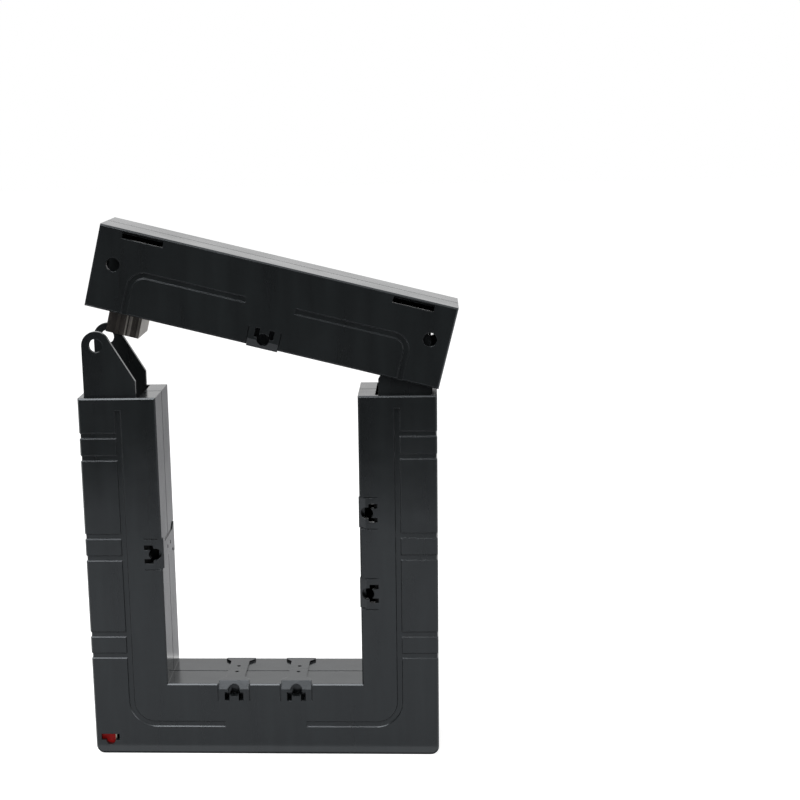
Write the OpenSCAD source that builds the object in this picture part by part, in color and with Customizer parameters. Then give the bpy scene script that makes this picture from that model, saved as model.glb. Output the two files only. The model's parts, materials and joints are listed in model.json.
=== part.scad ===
// Split-core current transformer for a busbar.
// A U-shaped two-shell housing holds the lower core with its two coils. The two-shell arm
// holds the upper core; it closes the window, and here it is tipped up on the outer top edge
// of the right leg. Width along X, depth along Y with the front at -Y, height along Z.
// The origin is the centre of the underside.

/* [Housing] */
// Width of each leg
leg_w = 31.5; // [30.5:0.5:35.5]
// Overall depth of the housing and of the arm
body_d = 32; // [31:1:44]
// Height of the legs
leg_h = 152; // [148:1:190]
// Width of the window between the legs
window_w = 81; // [72:1:91]
// Height of the bar under the window
base_h = 31; // [30:1:36]
// Wall of every moulded shell
wall = 2; // [1.6:0.1:2.2]
// Radius of the two lower outer corners
corner_r = 3.5; // [2:0.5:6]
// Bevel along the outer edges of the faces
edge_c = 0.6; // [0.3:0.1:0.9]
// Depth of the fine groove along the joint of two shells
seam_c = 0.3; // [0.2:0.1:0.5]

/* [Arm] */
// Height of the arm
arm_h = 33; // [31:0.5:38]
// Gap between the closed arm and the legs
arm_gap = 2.5; // [1:0.1:2.8]
// Angle that the arm is tipped up from closed
open_angle = 14.1; // [0:0.1:60]

/* [Ears and pin holes] */
// Diameter of the holes for the locking pins
pin_d = 5.5; // [4:0.1:6.4]
// Distance of the pin holes from the outer side of the leg
pin_in = 8; // [7.8:0.1:8.6]
// Height of the pin holes above the underside of the arm
pin_up = 18.4; // [17:0.1:20]
// Thickness of the ears
ear_t = 2; // [1.6:0.1:2.2]
// Radius of the top of the ears
ear_r = 5.7; // [5:0.1:5.9]
// Distance from the window side of the leg to the inner edge of the ears
ear_side = 8.2; // [7.8:0.1:9.4]
// Height of the upright inner edge of the ears
ear_step = 6.4; // [4:0.2:8]
// Depth of the ears' roots in the leg
ear_root = 10; // [8:0.5:12]
// Play between the ears and the arm around them
ear_play = 0.4; // [0.3:0.1:0.6]

/* [Core] */
// Distance from the outer side of the housing to the core
core_in = 9.5; // [9.4:0.1:10.5]
// Distance from the window side of the legs to the core
core_side = 8.6; // [8.4:0.1:9]
// Width of the core strip
core_w = 22; // [20:0.5:22.2]
// Inner radius of the core's bends
core_bend = 3; // [1:0.5:4]
// Length of the arm's core ends below the arm
core_drop = 9; // [7:0.5:11]
// Gap between the pole faces with the arm closed
pole_gap = 0.1; // [0.1:0.1:0.5]
// Height of the arm's core bar above the underside of the arm
core_rise = 12; // [11:0.5:13]

/* [Coils] */
// Wall of the bobbins
bobbin_t = 1; // [0.8:0.1:1.1]
// Thickness of the bobbin flanges
flange_t = 1.5; // [1:0.1:2]
// Thickness of the wound wire on the bobbins
winding_t = 1.3; // [0.8:0.1:1.4]
// Thickness of the tape around the windings
tape_t = 0.3; // [0.2:0.1:0.3]
// Diameter of the insulated wires
wire_d = 2.4; // [1.6:0.1:2.6]
// Play between the core and the bobbins, and the bobbins and the shells
coil_play = 0.3; // [0.2:0.05:0.4]

/* [Window clips] */
// Width of the clips at the face
clip_w = 12.6; // [11:0.2:14]
// Width of the clips at the joint of the shells
clip_waist = 7.8; // [7:0.2:9]
// Height of the clips in the base and in the arm above their walls
clip_h = 0.9; // [0.6:0.1:1.2]
// Height of the clips on the legs above their walls
clip_leg_h = 0.4; // [0.3:0.1:0.8]
// Distance of the two clips in the base from the middle
clip_base_x = 13; // [12:0.5:20]
// Height of the clip on the left leg
clip_left_z = 87; // [70:1:100]
// Height of the lower clip on the right leg
clip_right_z = 70; // [60:1:75]
// Spacing of the two clips on the right leg
clip_pitch = 34; // [30:1:40]

/* [Face grooves] */
// Width of the grooves at the face
groove_w = 2.6; // [1.8:0.1:3]
// Depth of the grooves
groove_t = 0.5; // [0.3:0.1:0.7]
// Width of the sloped sides of the grooves
groove_side = 0.4; // [0.2:0.1:0.6]
// Distance of the long groove from the outer sides
groove_in = 16; // [14:0.5:18]
// Height of the long groove above the underside
groove_up = 13.3; // [12:0.1:15]
// Distance from the leg tops to the upper end of the long groove
groove_top = 5; // [3:0.5:10]
// Half of the break in the middle of the long groove
groove_break = 17; // [12:1:24]
// Height of the lowest pair of cross grooves
pair_z = 48; // [40:1:55]
// Spacing of the pairs of cross grooves
pair_pitch = 42; // [35:0.5:43]
// Spacing of the two grooves of a pair
pair_gap = 9.2; // [7:0.2:11]
// Distance of the arm's groove below the top of the arm
arm_groove_down = 16; // [14:0.5:17]
// Half of the break in the middle of the arm's groove
arm_groove_break = 10; // [8:1:16]

/* [Terminals] */
// Width of the terminal window in the face
term_w = 7.7; // [6:0.1:9]
// Height of the terminal window in the face
term_h = 2.8; // [2:0.1:3.6]
// Height of the lower edge of the terminal window
term_z = 5.9; // [5:0.1:6.5]
// Distance that the terminal blocks stand out of the left side
term_nose = 0.4; // [0.2:0.1:1]
// Length of the terminal blocks behind the left side's wall
block_l = 10; // [9.8:0.1:11]
// Height of the terminal blocks
block_h = 8.4; // [8:0.1:9]

/* [Hidden] */
$fn = 48;
eps = 0.01;

body_w = window_w + 2 * leg_w;           // overall width of the housing and of the arm
half_w = body_w / 2;
half_d = body_d / 2;
core_t = leg_w - core_in - core_side;    // build-up of the core strip
arm_z = leg_h + arm_gap;                 // underside of the closed arm
ear_up = arm_gap + pin_up;               // pin hole above the leg top
ear_y = half_d - wall - ear_play;        // outer face of the ears
mouth_y = ear_y - ear_t;                 // half width of the openings between the ears
ear_foot = leg_w - ear_side;             // inner edge of the ears, from the outer side
ear_hook = 5;                            // hook of an ear's root under the leg top
mouth_in = leg_w - core_side + 1.7;      // inner end of the opening in a leg top
arm_mouth = leg_w - wall - 0.5;          // length of the open underside at an arm's end
core_r = core_bend + core_t;             // outer radius of the core's bends
core_face = arm_z - core_drop - pole_gap; // pole faces of the lower core
core_arm_top = core_rise + core_t;
bobbin_z0 = base_h + 3;
bobbin_z1 = leg_h - ear_root - 6;
rib_t = 2;                               // ribs that hold the cores
slot_h = pin_up + 2;                     // slots for the ears in the arm's ends
groove_r = 10;                           // bends of the long groove
arm_groove_r = 6;
arm_groove_z = arm_h - arm_groove_down;
catch_in = 9.3;                          // catch slots along the arm's top edge
catch_l = 16.5;
catch_h = 2.8;
catch_rim = 0.9;
pocket_t = wall + 2.5;                   // depth of the clips' pockets

coil_x = core_in + core_t / 2;           // axis of a coil, from the outer side
bore_w = core_t + 2 * coil_play;         // bore of the bobbins
bore_d = core_w + 2 * coil_play;
wire_y = 9;                              // wires, from the joint of the shells
lead_x = wall + 1.6 + wire_d / 2;        // wires to the terminals, from the outer side
link_x = leg_w - wall - 0.6 - wire_d / 2; // wires along the base, from the outer side
link_z = core_in + core_t + 0.6 + wire_d / 2;
wire_pass = core_w / 2 + 0.3 + wire_d / 2; // where a wire passes the core's leg
wire_top = bobbin_z0 + flange_t + 3;

block_x1 = wall + block_l;               // terminal block, from the outer side
block_y0 = half_d - wall;
block_y1 = 4;
block_z0 = max(corner_r, wall) + 0.1;
block_z1 = block_z0 + block_h;
nose_y0 = -12;                           // nose of the block in the side wall
nose_y1 = -6;
nose_z0 = block_z0 + 0.4;
nose_z1 = nose_z0 + 3.2;
clamp_w = 3.2;                           // clamp at the inner end of the terminal window
clamp_l = 7;
clamp_h = term_h + 1.4;
clamp_x0 = wall + 0.3 + term_w - 2.1;
clamp_z0 = term_z - 0.6;
screw_d = 2.2;

black = [0.13, 0.135, 0.14];
steel = [0.55, 0.54, 0.52];

// ---- Placing ----

// Children are drawn from the outer side of the left leg, with +X inwards.
module on_left() translate([-half_w, 0, 0]) children();

module on_right() mirror([1, 0, 0]) on_left() children();

module on_both() {
    on_left() children();
    on_right() children();
}

module at_back() mirror([0, 1, 0]) children();

// Tips the closed arm about the outer top edge of the right leg.
module tipped() {
    translate([half_w, 0, leg_h])
        rotate([0, open_angle, 0])
            translate([-half_w, 0, -leg_h])
                translate([0, 0, arm_z]) children();
}

// Extrudes an X-Z outline from y = -far back to y = -near.
module slab(far, near = 0)
    translate([0, -near, 0])
        rotate([90, 0, 0]) linear_extrude(far - near) children();

// ---- Outlines ----

// Outline of the housing, drawn in by the inset on every side.
module u_outline(inset = 0) {
    w = half_w - inset;
    r = max(corner_r - inset, 0.5);
    difference() {
        union() {
            translate([-w, inset + r]) square([2 * w, leg_h - 2 * inset - r]);
            translate([-w + r, inset]) square([2 * (w - r), 2 * r]);
            for (side = [-1, 1]) translate([side * (w - r), inset + r]) circle(r);
        }
        translate([-window_w / 2 - inset, base_h - inset]) square([window_w + 2 * inset, leg_h]);
    }
}

module arm_outline(inset = 0)
    translate([-half_w + inset, inset]) square([body_w - 2 * inset, arm_h - 2 * inset]);

// A quarter of a ring whose ends meet the -X and the -Y direction from its centre.
module quarter_ring(r, w) intersection() {
    difference() {
        circle(r + w / 2);
        circle(r - w / 2);
    }
    translate([-r - w, -r - w]) square(r + w);
}

module rounded_rect(w, d, r) {
    for (x = [-1, 1], y = [-1, 1]) translate([x * (w / 2 - r), y * (d / 2 - r)]) circle(r);
    square([w - 2 * r, d], center = true);
    square([w, d - 2 * r], center = true);
}

// ---- Edge cutters, along the front edges of a face ----

module diamond() polygon([[-edge_c, 0], [0, -edge_c], [edge_c, 0], [0, edge_c]]);

module edge_up(x, z0, z1) translate([x, -half_d, z0]) linear_extrude(z1 - z0) diamond();

module edge_along(z, x0, x1)
    translate([x0, -half_d, z]) rotate([90, 0, 90]) linear_extrude(x1 - x0) diamond();

module edge_round(x, z, r)
    translate([x, -half_d, z]) rotate([90, 0, 0])
        rotate_extrude() translate([r, 0]) diamond();

module housing_edges() {
    on_both() {
        edge_up(0, corner_r, leg_h + 1);
        edge_up(leg_w, base_h, leg_h + 1);
        edge_along(leg_h, 0, leg_w);
        // mitre where the window's edges meet
        intersection() {
            edge_up(leg_w, base_h - edge_c, base_h);
            edge_along(base_h, leg_w - edge_c, leg_w);
        }
        intersection() {
            edge_round(corner_r, corner_r, corner_r);
            translate([0, -half_d, 0]) cube([2 * corner_r, 3, 2 * corner_r], center = true);
        }
    }
    edge_along(0, corner_r - half_w, half_w - corner_r);
    edge_along(base_h, -window_w / 2, window_w / 2);
}

module arm_edges() {
    for (side = [-1, 1]) edge_up(side * half_w, -1, arm_h + 1);
    edge_along(0, -half_w, half_w);
    edge_along(arm_h, -half_w, half_w);
}

// ---- Groove cutters, sunk in the front face with sloped sides ----

// Outline of a groove as [depth, across].
groove_shape = [
    [-1, -groove_w / 2], [0, -groove_w / 2], [groove_t, groove_side - groove_w / 2],
    [groove_t, groove_w / 2 - groove_side], [0, groove_w / 2], [-1, groove_w / 2]
];

module groove_along(z, x0, x1)
    translate([x0, -half_d, z]) rotate([90, 0, 90]) linear_extrude(x1 - x0) polygon(groove_shape);

module groove_up(x, z0, z1)
    translate([x, -half_d, z0]) linear_extrude(z1 - z0)
        polygon([for (p = groove_shape) [p[1], p[0]]]);

// Quarter bend about a centre; up is -1 where it turns down towards -X, and 1 where it turns up.
module groove_bend(x, z, r, up) intersection() {
    translate([x, -half_d, z]) rotate([90, 0, 0]) rotate_extrude()
        polygon([for (p = groove_shape) [r + p[1], -p[0]]]);
    translate([x - 2 * r, -half_d - 2, up > 0 ? z : z - 2 * r]) cube([2 * r, 4, 2 * r]);
}

// Along the outer side of the left half.
module groove_round_side(z)
    translate([0, -half_d - 1, z]) rotate([-90, 0, 0]) linear_extrude(half_d + 2) polygon(groove_shape);

module half_long_groove() {
    bend = groove_up + groove_r;
    groove_up(groove_in, bend, leg_h - groove_top);
    groove_bend(groove_in + groove_r, bend, groove_r, -1);
    groove_along(groove_up, groove_in + groove_r, half_w - groove_break);
}

module half_arm_groove() {
    bend = arm_groove_z - arm_groove_r;
    groove_up(groove_in, -1, bend);
    groove_bend(groove_in + arm_groove_r, bend, arm_groove_r, 1);
    groove_along(arm_groove_z, groove_in + arm_groove_r, half_w - arm_groove_break);
}

// ---- Clips on the window's walls: local Z stands off the wall, local Y runs in from the face ----

module clip_pad(h) {
    flare = 3.5;
    taper = 3;
    translate([0, -half_d, -wall / 2]) linear_extrude(h + wall / 2)
        polygon([
            [-clip_w / 2, 0], [clip_w / 2, 0], [clip_w / 2, flare],
            [clip_waist / 2, flare + taper], [clip_waist / 2, half_d],
            [-clip_waist / 2, half_d], [-clip_waist / 2, flare + taper], [-clip_w / 2, flare]
        ]);
}

// Block behind the face that closes the pocket.
module clip_block()
    translate([-4.9, -half_d + wall / 2, -7.9]) cube([9.8, pocket_t - wall / 2 + 1, 7]);

// Arched pocket in the face with a tongue between two slits, under the pad's bevelled front.
module clip_cut(h) {
    arch_w = 5;
    arch_top = 0.5;
    arch_z = -4.6;
    slit_w = 2;
    slit_h = 3.7;
    reach = 7.3;
    line = 0.5;
    // bevel from the top of the pad down to the face
    translate([-clip_w / 2, 0, 0]) rotate([90, 0, 90]) linear_extrude(clip_w)
        polygon([
            [-half_d - 1, h + 1], [-half_d - 1, -2.4], [-half_d, -2.4],
            [-half_d + 2.2, h], [-half_d + 2.2, h + 1]
        ]);
    translate([0, -half_d + pocket_t, 0]) rotate([90, 0, 0]) linear_extrude(pocket_t + 1) {
        translate([-arch_w / 2, arch_z]) square([arch_w, -arch_z - arch_top - arch_w / 2]);
        translate([0, -arch_top - arch_w / 2]) circle(arch_w / 2);
        for (side = [-1, 1])
            translate([side * (arch_w / 2 + 0.4) - slit_w / 2, -reach]) square([slit_w, slit_h]);
    }
    // fine line down each side of the bracket
    for (side = [-1, 1])
        translate([side * (clip_w + line) / 2 - line / 2, -half_d - 1, -reach])
            cube([line, 1 + line, reach]);
    // dimple beside the joint of the shells
    translate([0, -3.4, h - 1.2]) cylinder(d = 1.6, h = 2);
}

module at_base_clips()
    for (side = [-1, 1]) translate([side * clip_base_x, 0, base_h]) children();

module at_leg_clips() {
    translate([-window_w / 2, 0, clip_left_z]) rotate([0, 90, 0]) children();
    for (i = [0, 1])
        translate([window_w / 2, 0, clip_right_z + i * clip_pitch]) rotate([0, -90, 0]) children();
}

// ---- Housing ----

// Plate with a pin hole. Its root fills the gap to the leg's wall and hooks under the leg's top.
module ear_plate() {
    root_x = pin_in - ear_r;
    root_l = ear_foot + ear_hook - root_x;
    difference() {
        union() {
            slab(ear_y, mouth_y) {
                translate([pin_in, leg_h + ear_up]) circle(ear_r);
                polygon([
                    [root_x, leg_h - ear_root], [root_x, leg_h + ear_up],
                    [pin_in + ear_r * cos(38), leg_h + ear_up + ear_r * sin(38)],
                    [ear_foot, leg_h + ear_step], [ear_foot, leg_h - ear_root]
                ]);
            }
            slab(half_d - wall, mouth_y)
                translate([root_x, leg_h - ear_root]) square([root_l, ear_root - wall]);
        }
        slab(half_d, 0) translate([pin_in, leg_h + ear_up]) circle(d = pin_d);
    }
}

module ears() {
    ear_plate();
    at_back() ear_plate();
}

module left_ears() color(black) on_left() ears();

module right_ears() color(black) on_right() ears();

// Rib across the base, cut out for the core that lies on it.
module base_rib(x) {
    translate([x - rib_t / 2, -half_d + wall / 2, wall / 2])
        difference() {
            cube([rib_t, half_d - wall / 2, core_in + core_t - wall / 2]);
            translate([-1, half_d - wall / 2 - core_w / 2, core_in - wall / 2])
                cube([rib_t + 2, core_w, core_t + 1]);
        }
}

module housing_shell() {
    difference() {
        union() {
            difference() {
                slab(half_d) u_outline();
                slab(half_d - wall, -1) u_outline(wall);
                housing_edges();
                // fine groove along the joint
                slab(seam_c, -1) difference() {
                    translate([-body_w, -1]) square([2 * body_w, 2 * leg_h]);
                    u_outline(seam_c);
                }
                // openings in the leg tops, for the ears and the core
                on_both() translate([wall, -ear_y - 0.1, leg_h - wall - 1])
                    cube([mouth_in - wall, ear_y + 1, wall + 2]);
            }
            for (x = [-0.5, 0, 0.5]) base_rib(x * window_w * 0.8);
            at_base_clips() {
                clip_pad(clip_h);
                clip_block();
            }
            at_leg_clips() clip_pad(clip_leg_h);
        }
        at_base_clips() clip_cut(clip_h);
        at_leg_clips() clip_cut(clip_leg_h);
        // long groove and its pairs of cross grooves
        on_both() half_long_groove();
        for (i = [0:2], g = [-0.5, 0.5]) on_both() {
            groove_along(pair_z + i * pair_pitch + g * pair_gap, -1, groove_in);
            groove_round_side(pair_z + i * pair_pitch + g * pair_gap);
        }
        terminal_window();
    }
}

// Window over a terminal block in the face, and the opening for its nose in the left side.
module terminal_window() on_left() {
    translate([wall + 0.3, -half_d - 1, term_z]) cube([term_w, wall + 1 + eps, term_h]);
    translate([wall + 0.3 + term_w / 2, -half_d - 1, term_z]) rotate([-90, 0, 0])
        cylinder(d = term_w / 2, h = wall + 1 + eps);
    translate([-1, nose_y0 - 0.1, nose_z0 - 0.1])
        cube([wall + 1 + eps, nose_y1 - nose_y0 + 0.2, nose_z1 - nose_z0 + 0.2]);
}

module front_housing_shell() color(black) housing_shell();

module back_housing_shell() color(black) at_back() housing_shell();

// ---- Lower core and coils ----

// Leg, bend and half of the bar of a core, drawn from the outer side.
module half_core(top) {
    slab(core_w / 2, -core_w / 2) {
        translate([core_in, core_in + core_r]) square([core_t, top - core_in - core_r]);
        translate([core_in + core_r, core_in + core_r]) quarter_ring(core_bend + core_t / 2, core_t);
        translate([core_in + core_r, core_in]) square([half_w - core_in - core_r, core_t]);
    }
}

module lower_core() color(steel) on_both() half_core(core_face);

// Ring around a leg of the core, from the bobbin's bore outwards.
module coil_ring(t0, t1, z0, z1)
    translate([coil_x, 0, z0]) linear_extrude(z1 - z0) difference() {
        rounded_rect(bore_w + 2 * t1, bore_d + 2 * t1, 0.5 + t1);
        rounded_rect(bore_w + 2 * t0, bore_d + 2 * t0, 0.5 + t0);
    }

module bobbin() {
    flange_x0 = wall + coil_play;
    flange_x1 = leg_w - wall - coil_play;
    flange_y = half_d - wall - coil_play;
    difference() {
        union() {
            coil_ring(0, bobbin_t, bobbin_z0, bobbin_z1);
            for (z = [bobbin_z0, bobbin_z1 - flange_t])
                translate([flange_x0, -flange_y, z]) cube([flange_x1 - flange_x0, 2 * flange_y, flange_t]);
        }
        translate([coil_x, 0, bobbin_z0 - 1]) linear_extrude(bobbin_z1 - bobbin_z0 + 2)
            rounded_rect(bore_w, bore_d, 0.5);
        // holes for the wires in the lower flange
        for (x = [lead_x, link_x], y = [-1, 1])
            translate([x, y * wire_y, bobbin_z0 - 1]) cylinder(d = wire_d + 0.2, h = flange_t + 2);
    }
}

module winding()
    coil_ring(bobbin_t, bobbin_t + winding_t, bobbin_z0 + flange_t, bobbin_z1 - flange_t);

module winding_tape() {
    inside = bobbin_t + winding_t;
    coil_ring(inside, inside + tape_t, bobbin_z0 + flange_t, bobbin_z1 - flange_t);
}

module left_bobbin() color([0.85, 0.83, 0.76]) on_left() bobbin();

module right_bobbin() color([0.85, 0.83, 0.76]) on_right() bobbin();

module left_winding() color([0.72, 0.36, 0.16]) on_left() winding();

module right_winding() color([0.72, 0.36, 0.16]) on_right() winding();

module left_winding_tape() color([0.9, 0.75, 0.2]) on_left() winding_tape();

module right_winding_tape() color([0.9, 0.75, 0.2]) on_right() winding_tape();

// ---- Wires ----

// Round wire along a list of points.
module wire(points) {
    for (i = [0:len(points) - 2]) {
        run = points[i + 1] - points[i];
        translate(points[i])
            rotate([0, acos(run[2] / norm(run)), atan2(run[1], run[0])])
                cylinder(d = wire_d, h = norm(run));
    }
    for (i = [1:len(points) - 2]) translate(points[i]) sphere(d = wire_d);
}

module coil_link_wire() color([0.1, 0.2, 0.6]) {
    x = half_w - link_x;
    wire([[-x, -wire_y, wire_top], [-x, -wire_y, link_z], [x, -wire_y, link_z], [x, -wire_y, wire_top]]);
}

module front_lead_wire() color([0.75, 0.1, 0.1])
    on_left() wire([[lead_x, -wire_y, block_z1], [lead_x, -wire_y, wire_top]]);

// Runs from the right coil along the bar of the core and past its left leg to the back terminal.
module back_lead_wire() color([0.75, 0.1, 0.1]) {
    side = half_w - link_x;
    end = -half_w + lead_x;
    wire([
        [side, wire_y, wire_top], [side, wire_y, link_z], [-side, wire_y, link_z],
        [-side, wire_pass, link_z], [end, wire_pass, link_z],
        [end, wire_y, link_z], [end, wire_y, block_z1]
    ]);
}

// ---- Terminals ----

module terminal_block() color([0.72, 0.08, 0.07]) on_left() difference() {
    union() {
        translate([wall, -block_y0, block_z0])
            cube([block_x1 - wall, block_y0 - block_y1, block_z1 - block_z0]);
        translate([-term_nose, nose_y0, nose_z0])
            cube([wall + term_nose + 1, nose_y1 - nose_y0, nose_z1 - nose_z0]);
    }
    translate([clamp_x0, -block_y0 - 1, clamp_z0]) cube([clamp_w, clamp_l + 1, clamp_h]);
    translate([clamp_x0 + clamp_w / 2, -block_y0 + clamp_l / 2, clamp_z0])
        cylinder(d = screw_d + 1.2, h = block_h);
}

// Square sleeve that grips the wire, with a threaded top.
module terminal_clamp() color([0.8, 0.68, 0.35]) on_left() difference() {
    translate([clamp_x0, -block_y0, clamp_z0]) cube([clamp_w, clamp_l, clamp_h]);
    translate([clamp_x0 + 0.6, -block_y0 - 1, clamp_z0 + 0.6])
        cube([clamp_w - 1.2, clamp_l + 2, clamp_h - 1.8]);
    translate([clamp_x0 + clamp_w / 2, -block_y0 + clamp_l / 2, clamp_z0 + 1])
        cylinder(d = screw_d, h = clamp_h);
}

module terminal_screw() color([0.7, 0.7, 0.72]) on_left()
    translate([clamp_x0 + clamp_w / 2, -block_y0 + clamp_l / 2, clamp_z0 + clamp_h - 1.2]) difference() {
        union() {
            cylinder(d = screw_d, h = 2.4);
            translate([0, 0, 1.2]) cylinder(d = screw_d + 1, h = 1.4);
        }
        translate([-3, -0.25, 2]) cube([6, 0.5, 1]);
    }

module front_terminal_block() terminal_block();

module back_terminal_block() at_back() terminal_block();

module front_terminal_clamp() terminal_clamp();

module back_terminal_clamp() at_back() terminal_clamp();

module front_terminal_screw() terminal_screw();

module back_terminal_screw() at_back() terminal_screw();

// ---- Arm, drawn closed with its underside at z = 0 ----

module arm_rib(x) {
    translate([x - rib_t / 2, -half_d + wall / 2, wall / 2])
        difference() {
            cube([rib_t, half_d - wall / 2, core_arm_top - wall / 2]);
            translate([-1, half_d - wall / 2 - core_w / 2, core_rise - wall / 2])
                cube([rib_t + 2, core_w, core_t + 1]);
        }
}

module arm_shell() {
    difference() {
        union() {
            difference() {
                slab(half_d) arm_outline();
                slab(half_d - wall, -1) arm_outline(wall);
                arm_edges();
                slab(seam_c, -1) difference() {
                    translate([-body_w, -1]) square([2 * body_w, 2 * arm_h]);
                    arm_outline(seam_c);
                }
                // open underside and slots for the ears at both ends
                on_both() {
                    translate([wall, -half_d + wall, -1]) cube([arm_mouth - wall, half_d, wall + 2]);
                    translate([-1, -half_d + wall, -1])
                        cube([wall + 2, half_d - wall - mouth_y + ear_play, slot_h + 1]);
                }
            }
            for (x = [-0.5, 0, 0.5]) arm_rib(x * window_w * 0.8);
            rotate([0, 180, 0]) {
                clip_pad(clip_h);
                clip_block();
            }
        }
        rotate([0, 180, 0]) clip_cut(clip_h);
        on_both() {
            // pin hole
            translate([pin_in, -half_d - 1, pin_up]) rotate([-90, 0, 0]) cylinder(d = pin_d, h = wall + 2);
            half_arm_groove();
            // catch slot under the top edge
            translate([catch_in, -half_d - 1, arm_h - catch_rim - catch_h])
                cube([catch_l, wall + 1.5, catch_h]);
        }
    }
}

module front_arm_shell() color(black) tipped() arm_shell();

module back_arm_shell() color(black) tipped() at_back() arm_shell();

module arm_core() color(steel) tipped() on_both()
    translate([0, 0, core_arm_top]) mirror([0, 0, 1]) translate([0, 0, -core_in])
        half_core(core_in + core_arm_top + core_drop);

// Foam strip that presses the core down on the lower one.
module arm_core_pad() color([0.25, 0.25, 0.27]) tipped()
    translate([-window_w / 2, -core_w / 2 + 1, core_arm_top])
        cube([window_w, core_w - 2, arm_h - wall - core_arm_top]);

front_housing_shell();
back_housing_shell();
left_ears();
right_ears();
lower_core();
left_bobbin();
right_bobbin();
left_winding();
right_winding();
left_winding_tape();
right_winding_tape();
coil_link_wire();
front_lead_wire();
back_lead_wire();
front_terminal_block();
back_terminal_block();
front_terminal_clamp();
back_terminal_clamp();
front_terminal_screw();
back_terminal_screw();
front_arm_shell();
back_arm_shell();
arm_core();
arm_core_pad();
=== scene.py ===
# %% [markdown]
# # A split-core current transformer
# The solid model is packed already. It comes in as a fixed frame: every node keeps its mesh and its
# place, and this lesson gives it finishes, a few finer pieces, a floor, lamps and a camera.
# All lengths in a script for Blender are metres, so one helper turns millimetres into metres.

import json
import math
import random

import bmesh
import bpy
from mathutils import Matrix, Vector


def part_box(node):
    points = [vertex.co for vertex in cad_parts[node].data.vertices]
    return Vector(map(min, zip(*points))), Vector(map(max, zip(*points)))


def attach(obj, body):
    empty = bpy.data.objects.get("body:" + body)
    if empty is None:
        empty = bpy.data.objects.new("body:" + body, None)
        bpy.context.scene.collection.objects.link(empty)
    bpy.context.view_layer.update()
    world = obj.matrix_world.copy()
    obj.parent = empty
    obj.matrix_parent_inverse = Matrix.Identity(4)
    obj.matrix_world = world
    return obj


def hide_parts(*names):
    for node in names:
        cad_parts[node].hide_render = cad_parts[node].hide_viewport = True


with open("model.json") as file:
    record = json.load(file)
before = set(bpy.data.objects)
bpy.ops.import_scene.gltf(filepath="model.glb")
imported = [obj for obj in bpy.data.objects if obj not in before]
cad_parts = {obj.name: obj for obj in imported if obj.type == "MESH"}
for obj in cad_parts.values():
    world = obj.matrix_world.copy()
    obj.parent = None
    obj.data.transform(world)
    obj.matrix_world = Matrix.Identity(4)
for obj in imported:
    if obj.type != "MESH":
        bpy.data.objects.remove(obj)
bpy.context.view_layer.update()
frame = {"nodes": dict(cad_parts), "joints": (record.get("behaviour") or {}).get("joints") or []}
nodes = frame["nodes"]


def mm(value):
    return value / 1000


# %% [markdown]
# ## Where the arm turns
# The arm is tipped up about one edge of the right leg. The joint in the record says where that edge
# is and how far the arm is from closed, so nothing about it is typed in twice. A piece for the arm is
# modelled level, as if the arm were shut, and this matrix then tips it.

# %% The arm's tip
joint = frame["joints"][0]
pivot = Vector(joint["pos_m"])
open_angle = math.radians(-joint["range_deg"][0])
tip_arm = (
    Matrix.Translation(pivot) @ Matrix.Rotation(open_angle, 4, "Y") @ Matrix.Translation(-pivot)
)
print("arm is tipped up by", round(math.degrees(open_angle), 1), "degrees about", tuple(pivot))

# %% [markdown]
# ## Colours
# A colour picked on a screen is an sRGB hex value, and the shader wants linear light. The curve
# between them is nearly a power of 2.4, with a straight foot for the darkest tones. One function
# turns one into the other, so every colour below can be written as hex.


# %% Hex to linear light
def linear(hex_colour, alpha=1.0):
    channels = [int(hex_colour[i : i + 2], 16) / 255 for i in (1, 3, 5)]
    light = [c / 12.92 if c <= 0.04045 else ((c + 0.055) / 1.055) ** 2.4 for c in channels]
    return (*light, alpha)


print("middle grey in linear light:", [round(c, 3) for c in linear("#808080")])

# %% [markdown]
# ## Nodes
# A material is a tree of nodes, and wiring one by hand takes many lines. One function adds a node,
# sets its fields and inputs and wires it up, so that a material reads as a list of what the surface
# has. Where two inputs share a name, i0 means the first and i1 the second.


# %% Add a node
def add_node(tree, kind, settings=None, stops=(), **inputs):
    """settings are its own fields, stops a ramp's, and an input is a value or what feeds it."""
    new = tree.nodes.new(kind)
    for field, value in (settings or {}).items():
        setattr(new, field, value)
    while stops and len(new.color_ramp.elements) < len(stops):
        new.color_ramp.elements.new(0.5)
    for number, (position, colour) in enumerate(stops):
        new.color_ramp.elements[number].position = position
        new.color_ramp.elements[number].color = linear(colour)
    for key, value in inputs.items():
        by_number = key[0] == "i" and key[1:].isdigit()
        socket = new.inputs[int(key[1:]) if by_number else key.replace("_", " ")]
        if isinstance(value, bpy.types.NodeSocket):
            tree.links.new(value, socket)
        else:
            socket.default_value = value
    return new


# %% [markdown]
# ## The start of every material
# Each finish below starts from the Principled shader, with the values that are the same all over
# set on its own sockets. Patterns follow Object coordinates, which stay fixed to the piece when it
# moves. They are scaled from metres to millimetres once, here, so that a pattern's scale is simply
# one divided by its real size in millimetres.


# %% Start a material and dress a node
def start_material(name, **sockets):
    """Returns the material, its tree, its shader and the place on the piece in millimetres."""
    material = bpy.data.materials.new(name)
    material.use_nodes = True
    tree = material.node_tree
    shader = tree.nodes["Principled BSDF"]
    for key, value in sockets.items():
        shader.inputs[key.replace("_", " ")].default_value = value
    place = add_node(tree, "ShaderNodeTexCoord")
    in_mm = add_node(
        tree, "ShaderNodeMapping", Vector=place.outputs["Object"], Scale=(1000, 1000, 1000)
    )
    return material, tree, shader, in_mm.outputs["Vector"]


def dress(material, *names, slot):
    """Gives CAD nodes a material. slot names the record's slot that it belongs to, and is not used.
    """
    for name in names:
        piece = nodes[name]
        piece.data.materials.clear()
        piece.data.materials.append(material)
    print(material.name, "on", ", ".join(names))


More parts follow.
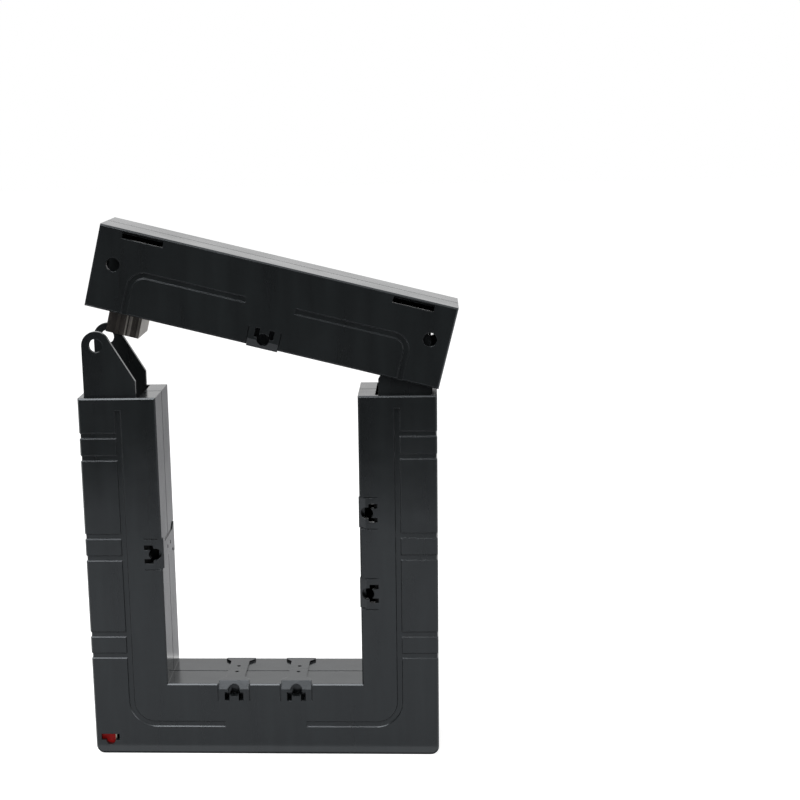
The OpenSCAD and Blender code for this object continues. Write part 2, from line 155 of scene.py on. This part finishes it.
# %% [markdown]
# ## Black ABS
# The shells are injection-moulded ABS, black all through. The mould was polished, so the skin is
# smooth and mirrors the studio: a face that is seen square on stays black, and one that is seen at a
# low angle turns pale grey. ABS has an index of refraction of about 1.5. What keeps it from looking
# like glass is a slow waviness from the cooling plastic, a very fine grain, and patches where a hand
# has dulled the gloss.


# %% Black ABS
def moulded_abs():
    patch = 30  # mm across a patch of handling
    smear_across, smear_along = 8, 60  # mm, how the plastic flowed in the mould
    wave = 12  # mm from crest to crest of the skin's waves
    speck = 0.35  # mm, grain of the mould: coarser than the real 0.05 mm so that it shows
    # the cool tint of the reflections is painted light: it stands in for the bluish light of the
    # studio that the plastic mirrors
    material, tree, shader, at = start_material(
        "Black ABS, polished mould", IOR=1.5, Specular_Tint=linear("#f2f8ff")
    )
    patches = add_node(
        tree, "ShaderNodeTexNoise", Vector=at, Scale=1 / patch, Detail=4.0, Roughness=0.55
    )
    gloss = add_node(
        tree,
        "ShaderNodeMapRange",
        Value=patches.outputs["Fac"],
        From_Min=0.35,
        From_Max=0.7,
        To_Min=0.16,
        To_Max=0.25,
    )
    smear_at = add_node(
        tree,
        "ShaderNodeMapping",
        Vector=at,
        Scale=(1 / smear_across, 1 / smear_across, 1 / smear_along),
    )
    smears = add_node(
        tree, "ShaderNodeTexNoise", Vector=smear_at.outputs["Vector"], Scale=1.0, Detail=3.0
    )
    colour = add_node(
        tree,
        "ShaderNodeValToRGB",
        stops=[(0.3, "#1b1d1e"), (0.75, "#222526")],
        Fac=smears.outputs["Fac"],
    )
    waves = add_node(tree, "ShaderNodeTexNoise", Vector=at, Scale=1 / wave, Detail=1.0)
    grain = add_node(tree, "ShaderNodeTexNoise", Vector=at, Scale=1 / speck, Detail=2.0)
    # the mould's edges are never sharp
    rounded = add_node(tree, "ShaderNodeBevel", {"samples": 6}, Radius=mm(0.3))
    wavy = add_node(
        tree,
        "ShaderNodeBump",
        Strength=0.35,
        Distance=mm(0.25),
        Height=waves.outputs["Fac"],
        Normal=rounded.outputs["Normal"],
    )
    grainy = add_node(
        tree,
        "ShaderNodeBump",
        Strength=0.12,
        Distance=mm(0.03),
        Height=grain.outputs["Fac"],
        Normal=wavy.outputs["Normal"],
    )
    tree.links.new(colour.outputs["Color"], shader.inputs["Base Color"])
    tree.links.new(gloss.outputs["Result"], shader.inputs["Roughness"])
    tree.links.new(grainy.outputs["Normal"], shader.inputs["Normal"])
    return material


mouldings = (
    "front_housing_shell", "back_housing_shell", "front_arm_shell", "back_arm_shell",
    "left_ears", "right_ears",
)
dress(moulded_abs(), *mouldings, slot="black_abs")

# %% [markdown]
# ## Silicon steel strip
# The core is a long thin strip of silicon steel, wound into a ring with rounded corners, glued and
# sawn in two. Its sides show the edges of the turns as fine parallel lines: most are brown with
# varnish and a few are rubbed bright. Each turn carries its own tone on its faces, as an attribute
# called tone, so the lines follow the bends. The flat of the strip is bright from the rolling mill.


# %% Silicon steel strip
def strip_steel():
    stain = 5  # mm across a stain of varnish
    burr_size = 0.4  # mm, what the shears and the saw left on the edges
    material, tree, shader, at = start_material("Silicon steel strip", Metallic=0.9)
    tone = add_node(tree, "ShaderNodeAttribute", {"attribute_name": "tone"})
    stains = add_node(tree, "ShaderNodeTexNoise", Vector=at, Scale=1 / stain, Detail=5.0)
    mixed = add_node(
        tree,
        "ShaderNodeMix",
        {"data_type": "FLOAT"},
        Factor=0.3,
        A=tone.outputs["Fac"],
        B=stains.outputs["Fac"],
    )
    colour = add_node(
        tree,
        "ShaderNodeValToRGB",
        stops=[(0.15, "#413e3c"), (0.45, "#575350"), (0.65, "#8a8681"), (0.9, "#c4c0b9")],
        Fac=mixed.outputs["Result"],
    )
    dull = add_node(
        tree, "ShaderNodeMapRange", Value=stains.outputs["Fac"], To_Min=0.3, To_Max=0.55
    )
    burr = add_node(tree, "ShaderNodeTexNoise", Vector=at, Scale=1 / burr_size, Detail=3.0)
    rub = add_node(
        tree, "ShaderNodeBump", Strength=0.3, Distance=mm(0.05), Height=burr.outputs["Fac"]
    )
    tree.links.new(colour.outputs["Color"], shader.inputs["Base Color"])
    tree.links.new(dull.outputs["Result"], shader.inputs["Roughness"])
    tree.links.new(rub.outputs["Normal"], shader.inputs["Normal"])
    return material


strip = strip_steel()
print("finish of the cores:", strip.name)

# %% [markdown]
# ## The wound cores
# Both halves of the core have one shape, a U of strip with rounded corners. A flat grid, one column
# for each turn, starts as a pole face. It is drawn up the leg, spun round the bend, drawn along the
# bar, spun again and drawn down, so every turn runs through the whole U as a strip of faces.

# %% Measures of the cores
core_low, core_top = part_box("lower_core")
core_half = core_top[0]  # from the middle to the outer side of a leg
core_width = core_top[1] - core_low[1]
core_stack = mm(13.4)  # build-up of the strip
core_bend = mm(3) + core_stack  # outer radius of the bends, 3 mm at the inner side
core_turns = 22  # a real core has about twice as many, which would be too fine to show
bend_steps = 8
pole_gap = mm(0.1)
arm_core_rise = mm(34.4)  # from the arm's pole faces to the back of its bar
print("core is", round(core_width * 1000, 1), "mm wide, from", core_low, "to", core_top)


# %% A U of strip
def draw_out(along):
    """Extrudes what is selected."""
    bpy.ops.mesh.extrude_region_move(TRANSFORM_OT_translate={"value": along})


def bent_strip(name, pole, bend_z, quarter):
    """Leaves the U in edit mode. bend_z is the height of the middle of its bends."""
    bend_x = core_half - core_bend
    bpy.ops.object.select_all(action="DESELECT")
    bpy.ops.mesh.primitive_grid_add(x_subdivisions=core_turns, y_subdivisions=1, size=1)
    piece = bpy.context.object
    piece.name = name
    bpy.ops.object.mode_set(mode="EDIT")
    bpy.ops.mesh.select_all(action="SELECT")
    bpy.ops.transform.resize(value=(core_stack, core_width, 1))
    bpy.ops.transform.translate(value=(core_stack / 2 - core_half, 0, pole))
    draw_out((0, 0, bend_z - pole))
    bpy.ops.mesh.spin(steps=bend_steps, angle=quarter, center=(-bend_x, 0, bend_z), axis=(0, 1, 0))
    draw_out((2 * bend_x, 0, 0))
    bpy.ops.mesh.spin(steps=bend_steps, angle=quarter, center=(bend_x, 0, bend_z), axis=(0, 1, 0))
    draw_out((0, 0, pole - bend_z))
    bpy.ops.mesh.select_all(action="SELECT")
    bpy.ops.mesh.normals_make_consistent(inside=False)
    return piece


# %% [markdown]
# ## Turns that sit a little deeper
# No strip is wound perfectly straight, so the edges of some turns lie a little below the others and
# the side of the core is finely stepped. Which turn a face belongs to follows from how deep it lies
# under the outer side, along the legs, the bar and round the bends alike. Recalculating the normals
# guesses which side is out from the face that lies furthest out, and the tiny step at the rim of a
# sunk turn can mislead it, so the sign of the volume decides.

# %% Sink some turns
facing = 0.9  # cosine from which a face counts as one that looks along an axis
sink_depths = (mm(0.05), mm(0.1))


def turn_of(face, up, bend_z):
    """Number of the turn that a face of the side belongs to, counted from outside."""
    centre = face.calc_center_median()
    out = max(abs(centre.x) - (core_half - core_bend), 0)
    over = max(up * (centre.z - bend_z), 0)
    depth = core_bend - (math.hypot(out, over) if out and over else max(out, over))
    return min(max(int(depth / core_stack * core_turns), 0), core_turns - 1)


def sink_turns(piece, up, bend_z, draw):
    sunk = [draw.choice((0, *sink_depths)) for _ in range(core_turns)]
    for depth in sink_depths:
        for side in (-1, 1):
            bpy.ops.mesh.select_all(action="DESELECT")
            mesh = bmesh.from_edit_mesh(piece.data)
            for face in mesh.faces:
                if face.normal.y * side > facing and sunk[turn_of(face, up, bend_z)] == depth:
                    face.select_set(True)
            bmesh.update_edit_mesh(piece.data)
            draw_out((0, -side * depth, 0))
    bpy.ops.mesh.select_all(action="SELECT")
    bpy.ops.mesh.normals_make_consistent(inside=False)
    if bmesh.from_edit_mesh(piece.data).calc_volume(signed=True) < 0:
        bpy.ops.mesh.flip_normals()
    bpy.ops.object.mode_set(mode="OBJECT")
    print(piece.name, "has", sum(depth > 0 for depth in sunk), "sunk turns of", core_turns)


# %% [markdown]
# ## A tone for each turn
# The tone of a turn is stored on its faces as an attribute, and the strip's material reads it. Most
# turns are dark with varnish, a few are rubbed bright, and the flat of the strip is brightest.

# %% Tone the turns
rubbed_turns = (12, 14, 15, 20, 21)  # counted from outside; these show bright
bright_tones = (0.65, 0.85)
dark_tones = (0, 0.4)


def tone_turns(piece, up, bend_z, draw):
    tones = [
        draw.uniform(*(bright_tones if turn in rubbed_turns else dark_tones))
        for turn in range(core_turns)
    ]
    tone = piece.data.attributes.new("tone", "FLOAT", "FACE")
    mesh = bmesh.new()
    mesh.from_mesh(piece.data)
    for face in mesh.faces:
        on_edge = abs(face.normal.y) > facing
        tone.data[face.index].value = tones[turn_of(face, up, bend_z)] if on_edge else 1
    mesh.free()
    print(piece.name, "has tones from", round(min(tones), 2), "to", round(max(tones), 2))


# %% [markdown]
# ## Both halves
# The two halves differ only in their heights, in which way they open and in the seed for their
# chance. The upper one is modelled level and then tipped with the arm. The tip is applied to its
# mesh, so that its object stays at the origin and the patterns stay where they belong.


# %% Lower core and arm core
def wound_core(name, pole, back, seed):
    """A U whose pole faces are at one height and whose bar's outer face is at the other."""
    up = 1 if back > pole else -1
    bend_z = back - up * core_bend
    draw = random.Random(seed)
    piece = bent_strip(name, pole, bend_z, -up * math.radians(90))
    sink_turns(piece, up, bend_z, draw)
    tone_turns(piece, up, bend_z, draw)
    piece.data.materials.append(strip)
    return piece


lower_core = wound_core("wound_core_lower", core_top[2], core_low[2], 4)
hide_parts("lower_core")
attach(lower_core, "housing")

arm_pole = core_top[2] + pole_gap
arm_core = wound_core("wound_core_arm", arm_pole, arm_pole + arm_core_rise, 9)
arm_core.matrix_world = tip_arm
bpy.ops.object.select_all(action="DESELECT")
arm_core.select_set(True)
bpy.context.view_layer.objects.active = arm_core
bpy.ops.object.transform_apply(location=True, rotation=True, scale=True)
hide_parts("arm_core")
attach(arm_core, "arm")

for core in (lower_core, arm_core):
    print(core.name, "has", len(core.data.polygons), "faces")

# %% [markdown]
# ## Ground steel
# The sawn ends of a core are its pole faces. Those of the lower core are ground flat, so that the
# arm's core meets them closely, which leaves clean pale metal with fine marks. The marks are noise
# that is stretched in one direction, and they drive both the tone and the gloss. The ground metal is
# the second finish of the piece. The arm's pole faces keep the bright flat of the strip.


# %% Ground pole faces
def ground_steel():
    mark_size = (12, 0.25, 2)  # mm: long in x, close together in y
    material, tree, shader, at = start_material("Silicon steel, ground", Metallic=1.0)
    marks_at = add_node(
        tree, "ShaderNodeMapping", Vector=at, Scale=[1 / size for size in mark_size]
    )
    marks = add_node(
        tree, "ShaderNodeTexNoise", Vector=marks_at.outputs["Vector"], Scale=1.0, Detail=3.0
    )
    colour = add_node(
        tree,
        "ShaderNodeValToRGB",
        stops=[(0.3, "#9c9892"), (0.7, "#c9c6c0")],
        Fac=marks.outputs["Fac"],
    )
    gloss = add_node(
        tree, "ShaderNodeMapRange", Value=marks.outputs["Fac"], To_Min=0.2, To_Max=0.4
    )
    tree.links.new(colour.outputs["Color"], shader.inputs["Base Color"])
    tree.links.new(gloss.outputs["Result"], shader.inputs["Roughness"])
    return material


near_pole = mm(0.2)  # how far from the pole's height a pole face may be
lower_core.data.materials.append(ground_steel())
ground = [
    face
    for face in lower_core.data.polygons
    if face.normal.z > facing and abs(face.center.z - core_top[2]) < near_pole
]
for face in ground:
    face.material_index = 1
print(len(ground), "faces of", lower_core.name, "are ground")

# %% [markdown]
# ## The small finishes
# The rest are moulded, drawn or plated parts that show little. They share one recipe, a base colour
# that wanders between two tones and a gloss that wanders with it, so one function makes them all,
# and only the tones, the gloss, the size of the grain and its height differ.


# %% A speckled finish
def speckled(name, dark, pale, rough, grain_mm, bump_mm, **sockets):
    """rough is the middle of its roughness, which wanders by a fifth either way."""
    material, tree, shader, at = start_material(name, **sockets)
    noise = add_node(tree, "ShaderNodeTexNoise", Vector=at, Scale=1 / grain_mm, Detail=4.0)
    colour = add_node(
        tree, "ShaderNodeValToRGB", stops=[(0.3, dark), (0.7, pale)], Fac=noise.outputs["Fac"]
    )
    gloss = add_node(
        tree,
        "ShaderNodeMapRange",
        Value=noise.outputs["Fac"],
        To_Min=rough * 0.8,
        To_Max=rough * 1.2,
    )
    skin = add_node(
        tree, "ShaderNodeBump", Strength=0.4, Distance=mm(bump_mm), Height=noise.outputs["Fac"]
    )
    tree.links.new(colour.outputs["Color"], shader.inputs["Base Color"])
    tree.links.new(gloss.outputs["Result"], shader.inputs["Roughness"])
    tree.links.new(skin.outputs["Normal"], shader.inputs["Normal"])
    return material


# %% [markdown]
# ## Coils and wires
# Each leg carries a moulded nylon bobbin with a winding of enamelled copper, held by a cotton tape,
# and wires in PVC lead to the terminals. Only a little of it is seen, through the slits of the clips
# and the gaps at the leg tops, but a plain finish would still show there as a flat patch.

# %% Coils and wires
# undyed nylon is milky, because light scatters inside it, and its skin is satin
dress(
    speckled("Natural nylon", "#cfc9b4", "#ddd8c6", 0.45, 2.0, 0.05, IOR=1.53),
    "left_bobbin", "right_bobbin", slot="bobbin_nylon",
)
# clear enamel deepens the copper to a red brown and keeps it glossy
dress(
    speckled("Enamelled copper", "#7a3417", "#a9552a", 0.28, 1.2, 0.1, Metallic=1.0),
    "left_winding", "right_winding", slot="enamelled_copper",
)
# the weave scatters the light, so the tape is dull and shows no highlight
# the black is the tape's colour and also painted shade: it keeps the slits of the leg clips that look
# onto the tape dark
dress(
    speckled("Black cotton tape", "#1c1c1d", "#2a2a2b", 0.7, 1.0, 0.1, IOR=1.5),
    "left_winding_tape", "right_winding_tape", slot="winding_tape",
)
# extruded hot over the wire, so it is smooth with a soft gloss
dress(
    speckled("PVC wire cover", "#7d1512", "#96201a", 0.4, 1.5, 0.04, IOR=1.53),
    "coil_link_wire", "front_lead_wire", "back_lead_wire", slot="wire_insulation",
)

# %% [markdown]
# ## Terminals and foam
# The terminal behind its window is a red block with a pale clamp, the one spot of colour on the
# part. The block has little gloss, so that its red stays full in the dark window. The foam strip
# over the arm's core is dull and open-celled.

# %% Terminals and foam
# dyed all through and moulded in a plain mould: an even, rather dull red
dress(
    speckled("Red polyamide", "#a30b0a", "#bd100e", 0.4, 1.5, 0.04, Specular_IOR_Level=0.2),
    "front_terminal_block", "back_terminal_block", slot="red_plastic",
)
# tin turns the brass into a warm pale grey
dress(
    speckled("Tinned brass", "#8e887c", "#aaa496", 0.35, 0.6, 0.03, Metallic=1.0),
    "front_terminal_clamp", "back_terminal_clamp", slot="terminal_brass",
)
# zinc is a cold bright grey with a fine bloom
dress(
    speckled("Zinc-plated steel", "#a3a5aa", "#c4c6cb", 0.28, 0.5, 0.02, Metallic=1.0),
    "front_terminal_screw", "back_terminal_screw", slot="zinc_steel",
)
# cut cells hold the light, so foam is the dullest black here
dress(
    speckled("Black foam rubber", "#232325", "#343437", 0.85, 0.7, 0.3, IOR=1.5),
    "arm_core_pad", slot="foam_rubber",
)

# %% [markdown]
# ## Floor
# The part stands on white paper. A white floor that is bright enough to be paper-white would take
# strong lamps, and those would wash out the black plastic. So part of the floor's white is its own,
# for the camera and for mirrors, and the rest is lit, which keeps the part's soft shadow.


# %% What is seen directly
def seen_directly(tree):
    """1 for what the camera, a mirror or glass sees, and 0 for the light that falls on things."""
    path = add_node(tree, "ShaderNodeLightPath")
    seen = add_node(
        tree,
        "ShaderNodeMath",
        {"operation": "MAXIMUM"},
        i0=path.outputs["Is Camera Ray"],
        i1=path.outputs["Is Glossy Ray"],
    )
    seen = add_node(
        tree,
        "ShaderNodeMath",
        {"operation": "MAXIMUM"},
        i0=seen.outputs["Value"],
        i1=path.outputs["Is Transmission Ray"],
    )
    return seen.outputs["Value"]


# %% [markdown]
# ## White paper
# Paper scatters light evenly, so its lit part is a plain diffuse shader, with a trace of fibres so
# that it isn't one flat tone. Its own white is a weak emission that is added to it.

# %% White paper
fibres_per_metre = 900  # one is about a millimetre, coarser than real ones
own_white = 0.82  # share of the white that doesn't come from the lamps
floor_size = 8


def white_paper():
    material = bpy.data.materials.new("White paper")
    material.use_nodes = True
    tree = material.node_tree
    tree.nodes.clear()
    place = add_node(tree, "ShaderNodeTexCoord")
    fibres = add_node(
        tree,
        "ShaderNodeTexNoise",
        Vector=place.outputs["Object"],
        Scale=fibres_per_metre,
        Detail=2.0,
    )
    tone = add_node(
        tree,
        "ShaderNodeValToRGB",
        stops=[(0.3, "#b1b1b1"), (0.7, "#b5b5b5")],
        Fac=fibres.outputs["Fac"],
    )
    lit = add_node(tree, "ShaderNodeBsdfDiffuse", Color=tone.outputs["Color"])
    own = add_node(tree, "ShaderNodeEmission", Color=linear("#ffffff"))
    share = add_node(
        tree, "ShaderNodeMath", {"operation": "MULTIPLY"}, i0=seen_directly(tree), i1=own_white
    )
    tree.links.new(share.outputs["Value"], own.inputs["Strength"])
    total = add_node(
        tree, "ShaderNodeAddShader", i0=lit.outputs["BSDF"], i1=own.outputs["Emission"]
    )
    add_node(tree, "ShaderNodeOutputMaterial", Surface=total.outputs["Shader"])
    return material


bpy.ops.object.select_all(action="DESELECT")
bpy.ops.mesh.primitive_plane_add(size=floor_size, location=(0, 0, 0))
floor = bpy.context.object
floor.name = "paper_floor"
floor.data.materials.append(white_paper())
print("floor is", floor_size, "m square")

# %% [markdown]
# ## Black and grey cards
# Behind the camera a studio is dark, and polished black plastic shows it: the lower part of each
# front face mirrors the near floor and is grey, and the upper part mirrors the dark room and is
# black. A photographer gets this with black and grey cards. These cards are seen by mirrors only.
# Black ones lie on the floor some way in front of the part, stand behind the camera and stand on the
# left. Grey ones lie on the floor just before and behind the part, where paper lit from above would
# be too bright in the plastic. The last is a painted shadow: a black card under the part's foot that
# mirrors see as the shade where no light gets under.


# %% A card that only mirrors see
def mirror_card(name, tone, size, location, rotation=(0, 0, 0)):
    """tone is the sRGB hex colour of its paper. Without a rotation it lies flat."""
    bpy.ops.object.select_all(action="DESELECT")
    bpy.ops.mesh.primitive_plane_add(size=1, location=location, rotation=rotation)
    card = bpy.context.object
    card.name = name
    card.scale = (*size, 1)
    material = bpy.data.materials.new(name)
    material.use_nodes = True
    paper = material.node_tree.nodes["Principled BSDF"]
    paper.inputs["Base Color"].default_value = linear(tone)
    paper.inputs["Specular IOR Level"].default_value = 0
    card.data.materials.append(material)
    card.visible_camera = False
    card.visible_diffuse = False
    card.visible_shadow = False
    print(name, tone, "is", [round(side, 2) for side in size], "m")


# %% [markdown]
# ## Where the cards are
# All lengths are metres. The grey card before the part ends where the black one starts, and this
# line is where the front faces turn from grey to black, so its distance sets how high that is. The
# card under the part has the outline of its foot, with a little to spare on each side.

# %% Place the cards
black_card = "#1c1c1e"
card_width = 4
card_height = mm(2)  # lying cards are just above the paper
upright = math.radians(90)
grey_edge = -0.02  # where the grey card starts, in front of the part
black_edge = -0.45  # where it ends and the black one starts
black_depth = 2.4
mirror_card(
    "lying_card",
    black_card,
    (card_width, black_depth),
    (0, black_edge - black_depth / 2, card_height),
)
mirror_card("standing_card", black_card, (5, 3), (0, -2.8, 1.4), (upright, 0, 0))
grey_depth = grey_edge - black_edge
mirror_card(
    "grey_card",
    "#cececf",
    (card_width, grey_depth),
    (0, grey_edge - grey_depth / 2, card_height),
)
mirror_card("left_card", black_card, (4.4, 3), (-1.1, -0.6, 1.4), (upright, 0, upright))
foot_low, foot_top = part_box("front_housing_shell")
foot_spare = mm(4)
foot = (foot_top[0] - foot_low[0] + foot_spare, 2 * (foot_top[1] - foot_low[1]) + foot_spare)
# painted shadow: a black card under the foot, seen by mirrors as the shade where no light gets under
mirror_card("shadow_card", black_card, foot, (0, 0, mm(0.05)))
mirror_card("back_card", "#cacacc", (2, 1.3), (0.6, 0.75, card_height))

# %% [markdown]
# ## Lamps
# One large softbox hangs above, in front and to the left: it draws the thin bright lines along the
# moulded edges, brighter on the left than on the right. Two weak ones fill the sides. An area lamp is
# used because a large soft source gives soft lines and soft shadows, as a point never would.


# %% Lamps
def softbox(name, size, power, location, target):
    """A rectangular lamp that looks at target. power is in watts."""
    data = bpy.data.lights.new(name, "AREA")
    data.shape = "RECTANGLE"
    data.size, data.size_y = size
    data.energy = power
    lamp = bpy.data.objects.new(name, data)
    bpy.context.scene.collection.objects.link(lamp)
    lamp.location = location
    lamp.rotation_euler = (Vector(target) - Vector(location)).to_track_quat("-Z", "Y").to_euler()
    print(name, "has", power, "W")


middle = (0, 0, 0.1)  # of the part
top_power = 14
side_power = 4
side_size = (0.6, 1.0)
softbox("top_softbox", (1.0, 0.7), top_power, (-0.35, -0.45, 1.2), middle)
softbox("left_softbox", side_size, side_power, (-1.3, -0.3, 0.6), middle)
softbox("right_softbox", side_size, side_power, (1.3, -0.2, 0.6), middle)

# %% [markdown]
# ## World
# The world is an even white. As light it is weaker than as a backdrop, so that black plastic stays
# black while the backdrop and what mirrors it are plain white. Standard is the view in which a
# colour comes out as it is written.

# %% World
world_light = 0.45  # strength as light; what is seen directly has 1
world = bpy.data.worlds.new("Soft studio")
bpy.context.scene.world = world
world.use_nodes = True
sky = world.node_tree
sky.nodes.clear()
strength = add_node(
    sky,
    "ShaderNodeMapRange",
    Value=seen_directly(sky),
    To_Min=world_light,
    To_Max=1.0,
)
even = add_node(
    sky, "ShaderNodeBackground", Color=linear("#ffffff"), Strength=strength.outputs["Result"]
)
add_node(sky, "ShaderNodeOutputWorld", Surface=even.outputs["Background"])
bpy.context.scene.view_settings.view_transform = "Standard"
print("world:", world.name, "with a strength of", world_light, "as light")

# %% [markdown]
# ## Camera
# The camera stands in front, a little to the right and above, 0.7 m away, and looks down by 13
# degrees. The view is framed with room on the right, so it is shifted a little that way.

# %% Camera
camera_data = bpy.data.cameras.new("camera")
camera_data.sensor_width = 36  # mm
camera_data.lens = 73.7  # focal length in mm
camera_data.shift_x = 0.0888
camera_data.shift_y = 0.0905
camera = bpy.data.objects.new("camera", camera_data)
bpy.context.scene.collection.objects.link(camera)
camera.location = (0.0708, -0.654, 0.2716)
camera_turns = (76.75, 1.19, 3.51)  # degrees: up from straight down, roll, turn to the left
camera.rotation_euler = [math.radians(turn) for turn in camera_turns]
bpy.context.scene.camera = camera
print("camera is", round((camera.location - Vector(middle)).length, 2), "m from the part's middle")
